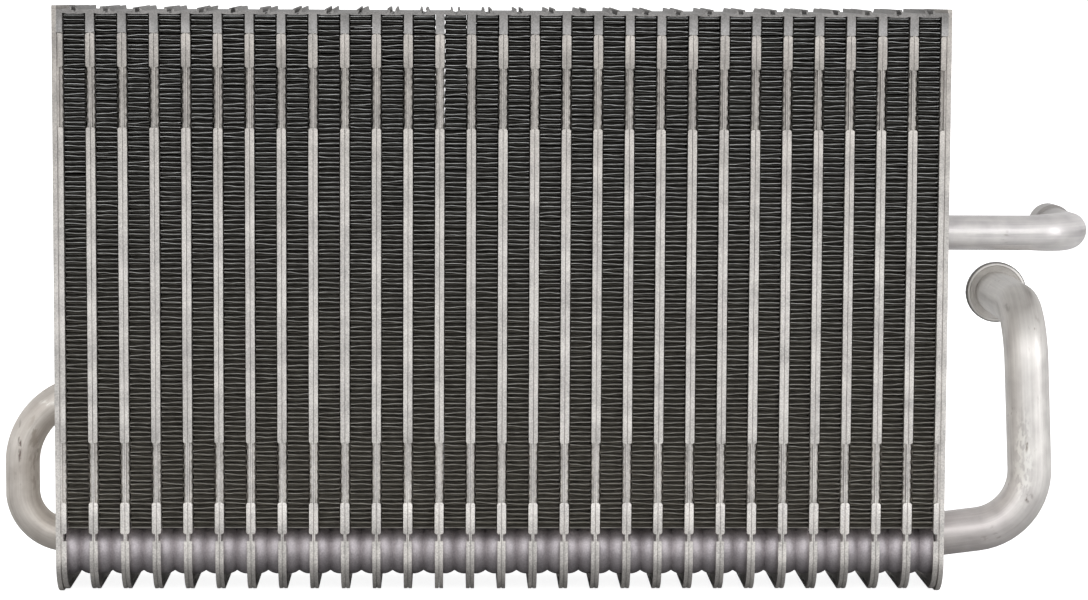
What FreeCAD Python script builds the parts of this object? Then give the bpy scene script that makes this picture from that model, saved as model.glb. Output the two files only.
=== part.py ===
import FreeCAD, Part
import math
import os

# Evaporator core of a vehicle air conditioner, in millimetres.
# Flat tubes stand side by side along X. Each tube is two stamped plates brazed edge to edge, and its foot
# carries two drawn cups a side. The cups of all tubes, brazed mouth to mouth, make the two chambers of the
# tank along the bottom. Corrugated fins fill the gaps between the tubes, and air passes them along Y.
# The origin is the middle of the centre tube's bottom edge: +X along the stack, +Y to the pipes, +Z up.

# Tubes
tube_count = 27
tube_pitch = 11.0
tube_width = 3.0
core_depth = 58.0
plate_height = 203.2
corner_radius = 12.5
corner_flats = 3

# Front edges of the plates: the bent tabs are missing along these heights, and only the brazed rim is left
rim_width = 1.1
rim_depth = 2.5
neck_bottom = 18.9
neck_height = 2.5
lower_rim_bottom = 32.4
lower_rim_height = 20.9
upper_rim_bottom = 163.7
upper_rim_height = 20.8

# Head of a tube: the plates' top edges spread into a flange with an upright lip at each side
lip_reach = 4.2
lip_gauge = 0.8
lip_top_above_plate = 2.6
flange_drop = 0.6
flange_gauge = 0.8

# Tank cups
cup_bottom = 5.5
cup_top = 23.2
cup_from_edge = 4.0
chamber_bridge = 4.0
cup_chamfer = 5.6
waist_inset = 1.1

# Fins: the strip is drawn with fewer folds than the real one and as much metal
fin_gauge = 0.1
fin_fold_spacing = 1.69
fin_legs_drawn = 11
fin_recess = 1.0
fin_clearance = 0.3

# End plates
sheet_gauge = 1.3
end_channel_width = 2.4
sheet_foot = 0.7
sheet_top_above_plate = 2.6

# Pipes
pipe_sides = 12
bend_steps = 5
suction_diameter = 16.0
suction_wall = 1.5
suction_leg_x = 38.2
suction_rise_angle = 7.0
suction_lean_angle = 2.6
suction_bend_radius = 21.5
suction_elbow_radius = 20.0
suction_elbow_height = 97.0
suction_end_x = 35.8
suction_end_y = 84.0
suction_collar_diameter = 23.2
suction_collar_gauge = 3.0
suction_spigot_length = 12.0
liquid_diameter = 12.7
liquid_height = 125.0
liquid_leg_x = 53.5
liquid_elbow_radius = 18.0
liquid_end_x = 52.8
liquid_end_y = 59.0
liquid_bell_diameter = 14.6
liquid_bore_diameter = 11.1
liquid_bell_length = 12.0
crossover_diameter = 12.4
crossover_reach = 16.75
crossover_bend_share = 0.9
crossover_upper_height = 64.8
crossover_upper_angle = 25.0
crossover_lower_angle = 5.0
pipe_bore_depth = 26.0

# Values worked out from the sizes above
front = -core_depth / 2
tube_half = tube_width / 2
gap_width = tube_pitch - tube_width
end_x = tube_pitch * (tube_count + 1) / 2
channel_inner_x = end_x - tube_half
sheet_inner_x = channel_inner_x + end_channel_width
sheet_outer_x = sheet_inner_x + sheet_gauge
cup_middle_z = (cup_bottom + cup_top) / 2
chamber_depth = core_depth / 2 - cup_from_edge - chamber_bridge / 2
chamber_middle_y = (chamber_bridge + chamber_depth) / 2
fin_bottom = cup_top + fin_clearance
fin_top = plate_height - flange_drop - fin_clearance
rim_windows = [
    (neck_bottom, neck_height),
    (lower_rim_bottom, lower_rim_height),
    (upper_rim_bottom, upper_rim_height),
]


def vec(x, y, z):
    return FreeCAD.Vector(x, y, z)


def box(x0, x1, y0, y1, z0, z1):
    return Part.makeBox(x1 - x0, y1 - y0, z1 - z0, vec(x0, y0, z0))


def flat_face(points):
    return Part.Face(Part.makePolygon(points + points[:1]))


def extruded(points, direction):
    return flat_face(points).extrude(direction)


def skinned(rings):
    """A solid through rings of corners, with one flat face between each two neighbours of two rings."""
    faces = [flat_face(rings[0]), flat_face(rings[-1])]
    for near, far in zip(rings, rings[1:]):
        for k in range(len(near)):
            faces.append(flat_face([near[k - 1], near[k], far[k], far[k - 1]]))
    return Part.makeSolid(Part.makeShell(faces))


def joined(shapes):
    return shapes[0].fuse(shapes[1:]).removeSplitter()


def plate_profile(bottom, top):
    """Outline of a plate in Y and Z, square at the top and rounded at the two bottom corners."""
    side = core_depth / 2
    points = [(side, top)]
    for step in range(corner_flats + 1):
        angle = math.radians(90 * step / corner_flats)
        y = side - corner_radius * (1 - math.cos(angle))
        z = bottom + corner_radius * (1 - math.sin(angle))
        points.append((y, z))
    return points + [(-y, z) for y, z in reversed(points)]


def plate(x0, x1, bottom, top):
    return extruded([vec(x0, y, z) for y, z in plate_profile(bottom, top)], vec(x1 - x0, 0, 0))


def rim_cutters(x0, x1):
    """Blocks that take the bent tabs away along the front edge, from x0 to x1."""
    return [box(x0, x1, front - 1, front + rim_depth, low, low + height) for low, height in rim_windows]


def cup_profile(x, inset, side):
    """D-shaped mouth of a chamber, straight towards the bridge and bevelled towards the outside."""
    inner = side * (chamber_bridge / 2 + inset)
    outer = side * (core_depth / 2 - cup_from_edge - inset)
    bevel = outer - side * cup_chamfer
    low = cup_bottom + inset
    high = cup_top - inset
    return [
        vec(x, inner, low),
        vec(x, bevel, low),
        vec(x, outer, low + cup_chamfer),
        vec(x, outer, high - cup_chamfer),
        vec(x, bevel, high),
        vec(x, inner, high),
    ]


def cups(wall_x, waist_x):
    """The front and rear cup of one plate, from its wall to the waist where the next cup is brazed on."""
    return [
        skinned([cup_profile(wall_x, 0, side), cup_profile(waist_x, waist_inset, side)])
        for side in (-1, 1)
    ]


def head(x, root_half, reaches):
    """Flange and lips along the top of a tube at x. reaches gives how far it spreads to -X and to +X."""
    under = plate_height - flange_drop
    over = plate_height + flange_gauge
    lip_top = plate_height + lip_top_above_plate
    points = []
    for side, reach in zip((-1, 1), reaches):
        half = [vec(x + side * root_half, front, under)]
        if reach:
            half += [
                vec(x + side * reach, front, plate_height),
                vec(x + side * reach, front, lip_top),
                vec(x + side * (reach - lip_gauge), front, lip_top),
                vec(x + side * (reach - lip_gauge), front, over),
            ]
        else:
            half.append(vec(x + side * root_half, front, over))
        points += half if side < 0 else half[::-1]
    return extruded(points, vec(0, core_depth, 0))


def tube(x):
    """One flat tube: two plates brazed at their rims, with cups at the foot and the flanged head."""
    body = plate(x - tube_half, x + tube_half, 0, plate_height - flange_drop)
    rim_half = rim_width / 2
    cutters = rim_cutters(x - tube_half - 1, x - rim_half) + rim_cutters(x + rim_half, x + tube_half + 1)
    body = body.cut(cutters)
    shapes = [body, head(x, tube_half, (lip_reach, lip_reach))]
    shapes += cups(x - tube_half, x - tube_pitch / 2)
    shapes += cups(x + tube_half, x + tube_pitch / 2)
    return joined(shapes)


def fin(x):
    """A corrugated strip between two tubes, centred on x, whose crests meet both tubes."""
    leg_length = math.hypot(gap_width, fin_fold_spacing)
    drawn_gauge = fin_gauge * leg_length / fin_fold_spacing
    swing = (gap_width - drawn_gauge) / 2
    left = []
    right = []
    for fold in range(fin_legs_drawn + 1):
        side = 1 if fold % 2 else -1
        z = fin_bottom + (fin_top - fin_bottom) * fold / fin_legs_drawn
        left.append(vec(x + side * swing - drawn_gauge / 2, front + fin_recess, z))
        right.append(vec(x + side * swing + drawn_gauge / 2, front + fin_recess, z))
    return extruded(left + right[::-1], vec(0, core_depth - 2 * fin_recess, 0))


def end_plate(side):
    """The last channel of the stack with the flat sheet that closes it; side is -1 on the left, 1 on the right."""
    channel = plate(channel_inner_x, sheet_inner_x, 0, plate_height - flange_drop)
    channel = channel.cut(rim_cutters(channel_inner_x - 1, sheet_inner_x - rim_width))
    channel_half = end_channel_width / 2
    reach = channel_half + lip_reach - tube_half
    shapes = [
        channel,
        plate(sheet_inner_x, sheet_outer_x, -sheet_foot, plate_height + sheet_top_above_plate),
        head(channel_inner_x + channel_half, channel_half, (reach, 0)),
    ]
    shapes += cups(channel_inner_x, end_x - tube_pitch / 2)
    shape = joined(shapes)
    if side < 0:
        shape = shape.mirror(vec(0, 0, 0), vec(1, 0, 0))
    return shape


def ring(centre, direction, radius):
    """Corners of a regular section across direction."""
    turn = FreeCAD.Rotation(vec(0, 0, 1), direction)
    corners = []
    for k in range(pipe_sides):
        angle = 2 * math.pi * (k + 0.5) / pipe_sides
        corners.append(centre + turn.multVec(vec(radius * math.cos(angle), radius * math.sin(angle), 0)))
    return corners


def bent_bar(corners, radii, radius):
    """A round bar along straight runs joined by bends, one radius for each inner corner."""
    direction = (corners[1] - corners[0]).normalize()
    rings = [ring(corners[0], direction, radius)]
    position = corners[0]
    for corner, following, bend_radius in zip(corners[1:], corners[2:], radii):
        next_direction = (following - corner).normalize()
        turn = direction.getAngle(next_direction)
        tangent = bend_radius * math.tan(turn / 2)
        start = corner - direction * tangent
        axis = direction.cross(next_direction).normalize()
        centre = start + axis.cross(direction) * bend_radius
        rings.append([point + (start - position) for point in rings[-1]])
        step = FreeCAD.Rotation(axis, math.degrees(turn) / bend_steps)
        for _ in range(bend_steps):
            rings.append([centre + step.multVec(point - centre) for point in rings[-1]])
        position = corner + next_direction * tangent
        direction = next_direction
    rings.append([point + (corners[-1] - position) for point in rings[-1]])
    return skinned(rings)


def port(side, height):
    return vec(side * sheet_outer_x, chamber_middle_y, height)


def outside_sheet(bar, side):
    """The part of a bar that lies outside an end sheet, cut flush with the face it is brazed to."""
    far = 2 * sheet_outer_x
    low, high = sorted((side * sheet_outer_x, side * far))
    return bar.common(box(low, high, -far, far, -far, far))


def opened(shapes, tip, out, bore_radius):
    """Joins the shapes of a pipe and opens it from its tip."""
    bore = Part.makeCylinder(bore_radius, pipe_bore_depth, tip, -out)
    return joined(shapes).cut(bore)


def suction_pipe():
    """Outlet from the rear chamber: out, up beside the core and back to a collared spigot."""
    radius = suction_diameter / 2
    rise = math.tan(math.radians(suction_rise_angle))
    lean = math.tan(math.radians(suction_lean_angle))
    start = port(1, cup_middle_z)
    foot = start + vec(suction_leg_x, 0, suction_leg_x * rise)
    top_x = foot.x - (suction_elbow_height - foot.z) * lean
    top = vec(top_x, chamber_middle_y, suction_elbow_height)
    collar = vec(sheet_outer_x + suction_end_x, suction_end_y, suction_elbow_height)
    out = (collar - top).normalize()
    lead = (start - foot).normalize() * suction_diameter
    bar = bent_bar([start + lead, foot, top, collar], [suction_bend_radius, suction_elbow_radius], radius)
    end_length = suction_collar_gauge + suction_spigot_length
    shapes = [
        outside_sheet(bar, 1),
        Part.makeCylinder(suction_collar_diameter / 2, suction_collar_gauge, collar, out),
        Part.makeCylinder(radius, end_length, collar, out),
    ]
    return opened(shapes, collar + out * end_length, out, radius - suction_wall)


def liquid_pipe():
    """Inlet at mid height: out beside the core and back to a belled end."""
    start = port(1, liquid_height)
    corner = start + vec(liquid_leg_x, 0, 0)
    bell = vec(sheet_outer_x + liquid_end_x, liquid_end_y, liquid_height)
    out = (bell - corner).normalize()
    bar = bent_bar([start, corner, bell], [liquid_elbow_radius], liquid_diameter / 2)
    shapes = [bar, Part.makeCylinder(liquid_bell_diameter / 2, liquid_bell_length, bell, out)]
    return opened(shapes, bell + out * liquid_bell_length, out, liquid_bore_diameter / 2)


def crossover_pipe():
    """U-shaped pipe on the left end, from the rear chamber to a port higher up the end plate."""
    lower = math.radians(crossover_lower_angle)
    upper = math.radians(crossover_upper_angle)
    start = port(-1, cup_middle_z)
    end = port(-1, crossover_upper_height)
    foot = start + vec(-crossover_reach, 0, crossover_reach * math.tan(lower))
    top = end + vec(-crossover_reach, 0, -crossover_reach * math.tan(upper))
    lower_radius = crossover_bend_share * (start - foot).Length / math.tan(math.radians(90) / 2 - lower / 2)
    upper_radius = crossover_bend_share * (end - top).Length / math.tan(math.radians(90) / 2 - upper / 2)
    lead_in = (start - foot).normalize() * crossover_diameter
    lead_out = (end - top).normalize() * crossover_diameter
    corners = [start + lead_in, foot, top, end + lead_out]
    return outside_sheet(bent_bar(corners, [lower_radius, upper_radius], crossover_diameter / 2), -1)


def save(shape, name):
    solids = shape.Solids
    result = solids[0] if len(solids) == 1 else Part.makeCompound(solids)
    box_of = result.BoundBox
    print(f"{name}: {len(solids)} solid, {result.Volume / 1000:.2f} cm3, valid {result.isValid()}, "
          f"{box_of.XLength:.1f} x {box_of.YLength:.1f} x {box_of.ZLength:.1f} mm")
    result.exportStep(os.path.join("parts", name + ".step"))


os.makedirs("parts", exist_ok=True)
for number in range(1, tube_count + 1):
    save(tube((number - (tube_count + 1) / 2) * tube_pitch), f"tube_{number:02d}")
for number in range(1, tube_count + 2):
    save(fin((number - (tube_count + 2) / 2) * tube_pitch), f"fin_{number:02d}")
save(end_plate(-1), "end_plate_left")
save(end_plate(1), "end_plate_right")
save(crossover_pipe(), "crossover_pipe")
save(suction_pipe(), "suction_pipe")
save(liquid_pipe(), "liquid_pipe")
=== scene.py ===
# %% [markdown]
# # Evaporator core
# This is the cold heat exchanger of a vehicle's air conditioner. Flat tubes stand in a row, folded fins fill
# the gaps between them, and drawn cups at the feet of the tubes join into a tank. Three bent pipes carry the
# refrigerant. The CAD solids give every place and size. This lesson dresses them one kind of piece at a time:
# stamped plates, folded fins, end plates and pipes, then light and camera.

import math

import bmesh
import bpy
from mathutils import Matrix, Vector, noise


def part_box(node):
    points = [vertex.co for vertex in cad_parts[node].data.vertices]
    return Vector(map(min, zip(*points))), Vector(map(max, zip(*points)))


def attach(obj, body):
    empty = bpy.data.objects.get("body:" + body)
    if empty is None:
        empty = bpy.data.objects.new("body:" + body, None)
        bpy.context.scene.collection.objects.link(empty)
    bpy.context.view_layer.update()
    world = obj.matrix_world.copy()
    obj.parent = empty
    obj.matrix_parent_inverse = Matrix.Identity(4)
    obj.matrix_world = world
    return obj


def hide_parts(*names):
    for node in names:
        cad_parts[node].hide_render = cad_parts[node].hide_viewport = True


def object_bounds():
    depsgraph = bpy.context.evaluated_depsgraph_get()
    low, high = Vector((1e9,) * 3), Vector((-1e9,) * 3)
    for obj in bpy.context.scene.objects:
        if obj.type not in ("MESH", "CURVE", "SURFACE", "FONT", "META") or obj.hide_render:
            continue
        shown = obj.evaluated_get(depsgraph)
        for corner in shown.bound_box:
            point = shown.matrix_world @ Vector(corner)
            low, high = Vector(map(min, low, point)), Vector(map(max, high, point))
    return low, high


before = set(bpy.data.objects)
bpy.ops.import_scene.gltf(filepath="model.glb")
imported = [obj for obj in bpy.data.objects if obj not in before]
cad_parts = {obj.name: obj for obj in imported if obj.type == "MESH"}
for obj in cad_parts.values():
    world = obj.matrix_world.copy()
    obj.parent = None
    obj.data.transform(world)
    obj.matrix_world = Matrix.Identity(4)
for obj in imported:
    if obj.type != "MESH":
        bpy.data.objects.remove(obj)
cad_low, cad_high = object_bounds()
print("CAD box in metres:", [round(v, 4) for v in cad_low], [round(v, 4) for v in cad_high])

# %% [markdown]
# ## Sizes come from the frame
# Blender works in metres and a sheet-metal maker thinks in millimetres, so all pieces are drawn in
# millimetres and scaled once at the end. The boxes of the CAD solids give the pitch of the tubes, the depth
# of the core and the heights, so that nothing here has to be fitted by eye.

# %% Read the main sizes
MM = 0.001


def node_box(name):
    """Lowest and highest corner of a CAD node, in millimetres."""
    low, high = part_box(name)
    return low / MM, high / MM


tube_names = sorted(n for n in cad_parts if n.startswith("tube_"))
fin_names = sorted(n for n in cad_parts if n.startswith("fin_"))
tube_low, tube_high = node_box(tube_names[len(tube_names) // 2])
fin_low, fin_high = node_box(fin_names[0])
end_low, end_high = node_box("end_plate_right")

pitch = tube_high.x - tube_low.x
front, rear = tube_low.y, tube_high.y
lip_top = tube_high.z
gap_width = fin_high.x - fin_low.x
tube_half = (pitch - gap_width) / 2
sheet_outer_x = end_high.x
print(f"{len(tube_names)} tubes at {pitch:.2f} mm, {2 * tube_half:.1f} mm wide, {rear - front:.0f} mm deep")

# %% [markdown]
# ## Small tools for modelling
# A bmesh is Blender's own workbench for meshes in code: its operators are the extrude, bevel and spin that
# you know from edit mode. Each part below is made in a bmesh of its own, where every edge can be found by its
# place, and then gathered into the piece that it belongs to. The first tools start, move and copy parts.

# %% Start, move, mirror and gather
def shift(bm, offset, points=None):
    """Moves some points of a bmesh, or all of them."""
    bmesh.ops.translate(bm, vec=offset, verts=bm.verts if points is None else points)


def block(x, y, z):
    """A plain block between two values along each axis."""
    bm = bmesh.new()
    size = [high - low for low, high in (x, y, z)]
    middle = Matrix.Translation([sum(pair) / 2 for pair in (x, y, z)])
    bmesh.ops.create_cube(bm, size=1, matrix=middle @ Matrix.Diagonal((*size, 1)))
    return bm


def add_square(bm, matrix, half=0.5):
    """Adds a square face, placed by a matrix."""
    bmesh.ops.create_grid(bm, x_segments=1, y_segments=1, size=half, matrix=matrix)


def points_of(made):
    """The points among all that an operator made."""
    return [g for g in made if isinstance(g, bmesh.types.BMVert)]


def everything(bm):
    return bm.verts[:] + bm.edges[:] + bm.faces[:]


def mirrored(bm, axis):
    """A part together with its mirror image."""
    bmesh.ops.mirror(bm, geom=everything(bm), matrix=Matrix.Identity(4), merge_dist=-1, axis=axis)
    return bm


def as_mesh(bm, name):
    """Turns a bmesh into a mesh and frees it."""
    mesh = bpy.data.meshes.new(name)
    bm.to_mesh(mesh)
    bm.free()
    return mesh


def copy_of(mesh):
    bm = bmesh.new()
    bm.from_mesh(mesh)
    return bm


def gather(target, *parts):
    """Adds bmeshes to another one."""
    for part in parts:
        scrap = as_mesh(part, "scrap")
        target.from_mesh(scrap)
        bpy.data.meshes.remove(scrap)
    return target


def welded(bm):
    """Joins points that coincide and turns all faces outwards."""
    bmesh.ops.remove_doubles(bm, verts=bm.verts, dist=0.001)
    bmesh.ops.recalc_face_normals(bm, faces=bm.faces)
    return bm


print("parts can be started, moved, mirrored and gathered")

# %% [markdown]
# Sharp edges look false, because pressed metal always has a small radius. A bevel needs the right edges, so
# two short functions find them by place and by the way they run. Another one ends the work on a piece: it
# scales it to metres, gives it its finishes, ties it to the body and hides the CAD node that it replaces.

# %% Find edges, soften them and finish a piece
def near(value, wanted, tolerance=0.01):
    return abs(value - wanted) < tolerance


def edges_at(bm, **wanted):
    """Edges whose ends both lie at the wanted places, such as x=2 or y=front."""
    return [e for e in bm.edges
            if all(near(getattr(v.co, axis), place) for v in e.verts for axis, place in wanted.items())]


def running(edges, axis):
    """Those of some edges that run along one axis."""
    others = [i for i in range(3) if "XYZ"[i] != axis]
    return [e for e in edges if all(near(e.verts[0].co[i], e.verts[1].co[i]) for i in others)]


def soften(bm, picked, offset, segments=2, affect="EDGES"):
    """Rounds edges by a bevel of even width, or with VERTICES the corners of a flat face."""
    bmesh.ops.bevel(
        bm, geom=picked, offset=offset, offset_type="OFFSET", affect=affect,
        segments=segments, profile=0.5, material=-1, clamp_overlap=affect == "EDGES")


def paint(bm, index):
    """Gives every face of a bmesh one of its piece's materials."""
    for face in bm.faces:
        face.material_index = index
    return bm


def placed(name, data):
    """A new object in the scene that holds this data."""
    item = bpy.data.objects.new(name, data)
    bpy.context.scene.collection.objects.link(item)
    return item


def new_piece(bm, name, materials, stands_for, sharp_angle=38):
    """Turns a bmesh in millimetres into an object in metres that stands for a CAD node."""
    bmesh.ops.scale(bm, vec=(MM, MM, MM), verts=bm.verts)
    # No point leaves the box of the CAD model, whatever the waver did
    for vert in bm.verts:
        vert.co = [min(max(v, low), high) for v, low, high in zip(vert.co, cad_low, cad_high)]
    mesh = as_mesh(bm, name)
    mesh.shade_smooth()
    mesh.set_sharp_from_angle(angle=math.radians(sharp_angle))
    for material in materials:
        mesh.materials.append(material)
    piece = placed(name, mesh)
    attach(piece, "root")
    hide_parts(stands_for)
    return piece


def triangles(piece):
    return sum(len(face.vertices) - 2 for face in piece.data.polygons)


print("edges can be found and softened")

# %% [markdown]
# ## Finishes
# The whole core is aluminium, but it doesn't look alike all over. The plates are stamped from clad sheet and
# came out of a brazing furnace, which leaves them matt and a little grainy. The fins are thin strip with a
# dark coat, bright only where the strip was cut. The pipes are drawn, so their scratches run lengthwise. A
# material is a small tree of nodes. One function adds a node with its options and its inputs, and a colour is
# written as it looks on a screen and turned to the linear values that the renderer works with.

# %% Tools for materials
def colour(hex_value):
    """Linear colour of an sRGB hex value such as C8C4BE."""
    parts = [int(hex_value[i:i + 2], 16) / 255 for i in (0, 2, 4)]
    linear = [p / 12.92 if p <= 0.04045 else ((p + 0.055) / 1.055) ** 2.4 for p in parts]
    return (*linear, 1.0)


def join(tree, node, inputs):
    """Fills a node's sockets, each with a value or with another node's output."""
    for name, value in inputs.items():
        if isinstance(value, bpy.types.NodeSocket):
            tree.links.new(value, node.inputs[name])
        else:
            node.inputs[name].default_value = value


def add(tree, kind, options=None, inputs=None):
    """Adds a shader node of a kind: options are its settings and inputs its sockets."""
    node = tree.nodes.new("ShaderNode" + kind)
    for name, value in (options or {}).items():
        setattr(node, name, value)
    join(tree, node, inputs or {})
    return node


def new_material(name):
    """A material with a Principled shader, its tree and that shader."""
    material = bpy.data.materials.new(name)
    material.use_nodes = True
    tree = material.node_tree
    tree.nodes.clear()
    shader = add(tree, "BsdfPrincipled")
    add(tree, "OutputMaterial", inputs={"Surface": shader.outputs["BSDF"]})
    return material, tree, shader


print("linear value of mid grey:", round(colour("808080")[0], 3))

# %% [markdown]
# The nodes that every finish needs get short names of their own: the place of a point, noise of a size in
# millimetres, a range mapped to another one, a sum, two colours mixed, and a bump. Each gives back the output
# that the next node takes, so a finish below reads like a sentence.

# %% Short names for common nodes
def place_of(tree):
    """The point's place in the object's own space, in metres."""
    return add(tree, "TexCoord").outputs["Object"]


def parts_of(tree, vector):
    """The three parts of a vector, as outputs named X, Y and Z."""
    return add(tree, "SeparateXYZ", inputs={0: vector}).outputs


def length_of(tree, vector):
    return add(tree, "VectorMath", {"operation": "LENGTH"}, {0: vector}).outputs["Value"]


def speckle(tree, place, size_mm, detail=2.0):
    """Noise from 0 to 1 whose features are this large."""
    return add(tree, "TexNoise", inputs={
        "Vector": place, "Scale": 1 / (size_mm * MM), "Detail": detail}).outputs["Fac"]


def mapped(tree, value, start, end, low=0.0, high=1.0, smooth=False):
    """Maps start and end of a value to low and high, and stays there beyond them."""
    kind = "SMOOTHSTEP" if smooth else "LINEAR"
    return add(tree, "MapRange", {"interpolation_type": kind}, {
        "Value": value, "From Min": start, "From Max": end,
        "To Min": low, "To Max": high}).outputs["Result"]


def worked_out(tree, operation, *values):
    """One step of arithmetic."""
    return add(tree, "Math", {"operation": operation}, dict(enumerate(values))).outputs[0]


def weighed(tree, first, second, weight):
    """The mean of two values, where the first one has this weight."""
    rest = worked_out(tree, "MULTIPLY", second, 1 - weight)
    return worked_out(tree, "MULTIPLY_ADD", first, weight, rest)


def mixed(tree, share, first, second, kind="MIX"):
    """Mixes two colours, each a hex value or an output."""
    first, second = [colour(c) if isinstance(c, str) else c for c in (first, second)]
    return add(tree, "Mix", {"data_type": "RGBA", "blend_type": kind}, {
        0: share, 6: first, 7: second}).outputs[2]


def darkened_along(tree, tint, place, axis, span, shade):
    """Multiplies a tint by a shade that sets in over a span in mm along one axis, as painted shade and as
    dull ends.
    """
    start, end = [value * MM for value in span]
    share = mapped(tree, parts_of(tree, place)[axis], start, end, smooth=True)
    return mixed(tree, share, tint, shade, "MULTIPLY")


def bumped(tree, height, strength, distance_mm, **under):
    """A normal that a height bends. under may hold the Normal that it starts from."""
    return add(tree, "Bump", inputs={
        "Height": height, "Strength": strength, "Distance": distance_mm * MM, **under}).outputs["Normal"]


print("short names ready")

# %% [markdown]
# ### Brazed aluminium sheet
# In the furnace the clad skin of the sheet melts and sets again. It gives the eye a matt, slightly warm grey
# with a fine grain and soft blotches where flux dried. Three noises do it: blotches of several millimetres
# for colour and roughness, a grain of about half a millimetre, and a shallow bump with the same grain.
# Painted shade darkens the sheet towards its top, above its low part and at its foot, so that it is palest
# low down, above the tank.

# %% Brazed sheet
GREY_LOW, GREY_HIGH = 0.36, 0.64
# Spans in millimetres where painted shade sets in: above the low part of the sheet, and at its foot
painted_shade_rise_span, painted_foot_shade_span = (25, 75), (16, 4)


def brazed_sheet(name, pale, dull, roughness, painted_top_shade="FFFFFF", painted_top_span=(110, 195)):
    """Stamped clad aluminium between a pale and a dull tone, with painted shade at its top, above its low
    part and at its foot.
    """
    material, tree, shader = new_material(name)
    place = place_of(tree)
    blotches = speckle(tree, place, 9, 3.0)
    grain = speckle(tree, place, 0.55)
    tone = mapped(tree, weighed(tree, grain, blotches, 0.5), GREY_LOW, GREY_HIGH)
    tint = mixed(tree, tone, dull, pale)
    # Painted shade: the tint darkens over the top span, above the low part and at the foot
    for span, shade in ((painted_top_span, painted_top_shade), (painted_shade_rise_span, "EDEDED"), (painted_foot_shade_span, "E0E0E0")):
        tint = darkened_along(tree, tint, place, "Z", span, shade)
    join(tree, shader, {
        "Base Color": tint, "Metallic": 0.9,
        "Roughness": mapped(tree, blotches, 0, 1, roughness - 0.07, roughness + 0.07),
        "Normal": bumped(tree, grain, 0.35, 0.03)})
    return material


# Plates and head get painted shade towards their tops. The head's darker base is its own duller tone.
plate_finish = brazed_sheet("brazed aluminium sheet", "FAF6F1", "C5C2BF", 0.5, "E2E0DE")
head_finish = brazed_sheet(
    "brazed aluminium sheet, dull head", "CFCDCC", "A1A09F", 0.56, "DAD9D8", (196.5, 203.5))
cup_finish = brazed_sheet("brazed aluminium sheet, drawn cups", "D6D0D4", "B7B1B6", 0.52)
print("brazed sheet in three tones")

# %% [markdown]
# ### Fin strip
# Fin strip is 0.1 mm thick and carries a dark coat that makes water run off. Air passes louvres cut across
# it, about 1.2 mm apart. Most of them lie in deep shade between the folds, where a striped bump is enough.
# The cut edge of the strip is bare and bright, and it is what shows as fine lines from the front. At the
# bends the strip is wetted by braze and lies in the shade of the tubes, so its edge gets a dark finish there,
# partly braze and partly painted shade. Painted shade also darkens the strip towards the top and the cut edge
# towards the bottom.

# %% Coated strip and its bright cut edge
louvre_spacing = 1.2
# A wave texture draws a stripe for each 0.314 units of its scaled axis
STRIPE = 0.314


def coated_strip(name, pale, dull, roughness):
    """Coated fin strip whose louvres are stripes across its depth."""
    material, tree, shader = new_material(name)
    place = place_of(tree)
    tint = mixed(tree, speckle(tree, place, 4), dull, pale)
    stripes = add(tree, "TexWave", {"bands_direction": "Y", "wave_profile": "SAW"}, {
        "Vector": place, "Scale": STRIPE / (louvre_spacing * MM)})
    join(tree, shader, {
        # Painted shade: the strip darkens towards the top
        "Base Color": darkened_along(tree, tint, place, "Z", (20, 200), "C9CBCE"),
        "Roughness": roughness, "Metallic": 0.8,
        "Normal": bumped(tree, stripes.outputs["Fac"], 0.8, 0.3)})
    return material


def cut_edge(name, pale, dull):
    """The bare edge of the strip, where the shear left it bright in places."""
    material, tree, shader = new_material(name)
    place = place_of(tree)
    tone = mapped(tree, speckle(tree, place, 3, 4.0), 0.35, 0.7)
    join(tree, shader, {
        # Painted shade: the cut edge darkens towards the bottom, so it is brightest at the top
        "Base Color": darkened_along(tree, mixed(tree, tone, dull, pale), place, "Z", (190, 30), "DFDBD3"),
        "Roughness": 0.38, "Metallic": 1.0})
    return material


strip_finish = coated_strip("coated aluminium fin strip", "BBB7AF", "8E8981", 0.5)
# The bends' dark finish is partly braze and partly painted shade
bend_braze_and_shade_finish = coated_strip("coated aluminium fin strip, brazed bends in painted shade", "64615C", "46433F", 0.6)
edge_finish = cut_edge("cut edge of fin strip", "C5C6C6", "8A8A89")
print("fin strip and cut edge")

# %% [markdown]
# ### Drawn pipe
# Some features of a pipe's finish have a place of their own. The collar was turned on a lathe with a bead
# and a rounded rim, which get a painted highlight and a painted dark reflection, as rings between two radii.
# Larger marks lie where a clamp or a tool touched the pipe. A darker band and some painted highlights sit on
# the pipes too, so all of them are given by place, size and tone.

# %% Rings and spots
def ring_share(tree, radius, inner, outer, fade=0.2):
    """A share that is 1 between two radii in millimetres and fades to 0 on both sides."""
    rise = mapped(tree, radius, (inner - fade) * MM, inner * MM)
    fall = mapped(tree, radius, (outer + fade) * MM, outer * MM)
    return worked_out(tree, "MULTIPLY", rise, fall)


def spot_share(tree, place, centre, half_size):
    """A share that is 1 in the middle of a spot and 0 outside it."""
    for operation, value in (("SUBTRACT", centre), ("DIVIDE", half_size)):
        place = add(tree, "VectorMath", {"operation": operation}, {
            0: place, 1: Vector(value) * MM}).outputs["Vector"]
    return mapped(tree, length_of(tree, place), 1.0, 0.3, smooth=True)


# A painted highlight on the bead and a painted dark reflection on the collar's rounded rim
collar_painted_rings = [(10.4, 10.9, "F0EDEA"), (11.3, 12, "7A7775")]
print(len(collar_painted_rings), "rings on the collar")

# %% [markdown]
# A drawn tube is smoother and more silvery than sheet, with faint lines along its length from the die, slight
# flats that break up a highlight, and a few small dark marks from handling. Lines that follow a bend can't be
# laid in object space, so each pipe carries an attribute called straight: where the point would be if the
# pipe were still a straight length. On the turned faces of a collar the same noise changes fast with the
# radius, which makes rings of it.

# %% Drawn aluminium
# How strongly the noise grows along the pipe and with its radius, compared with round the pipe
along_stretch, radius_stretch = 0.03, 3.0


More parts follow.
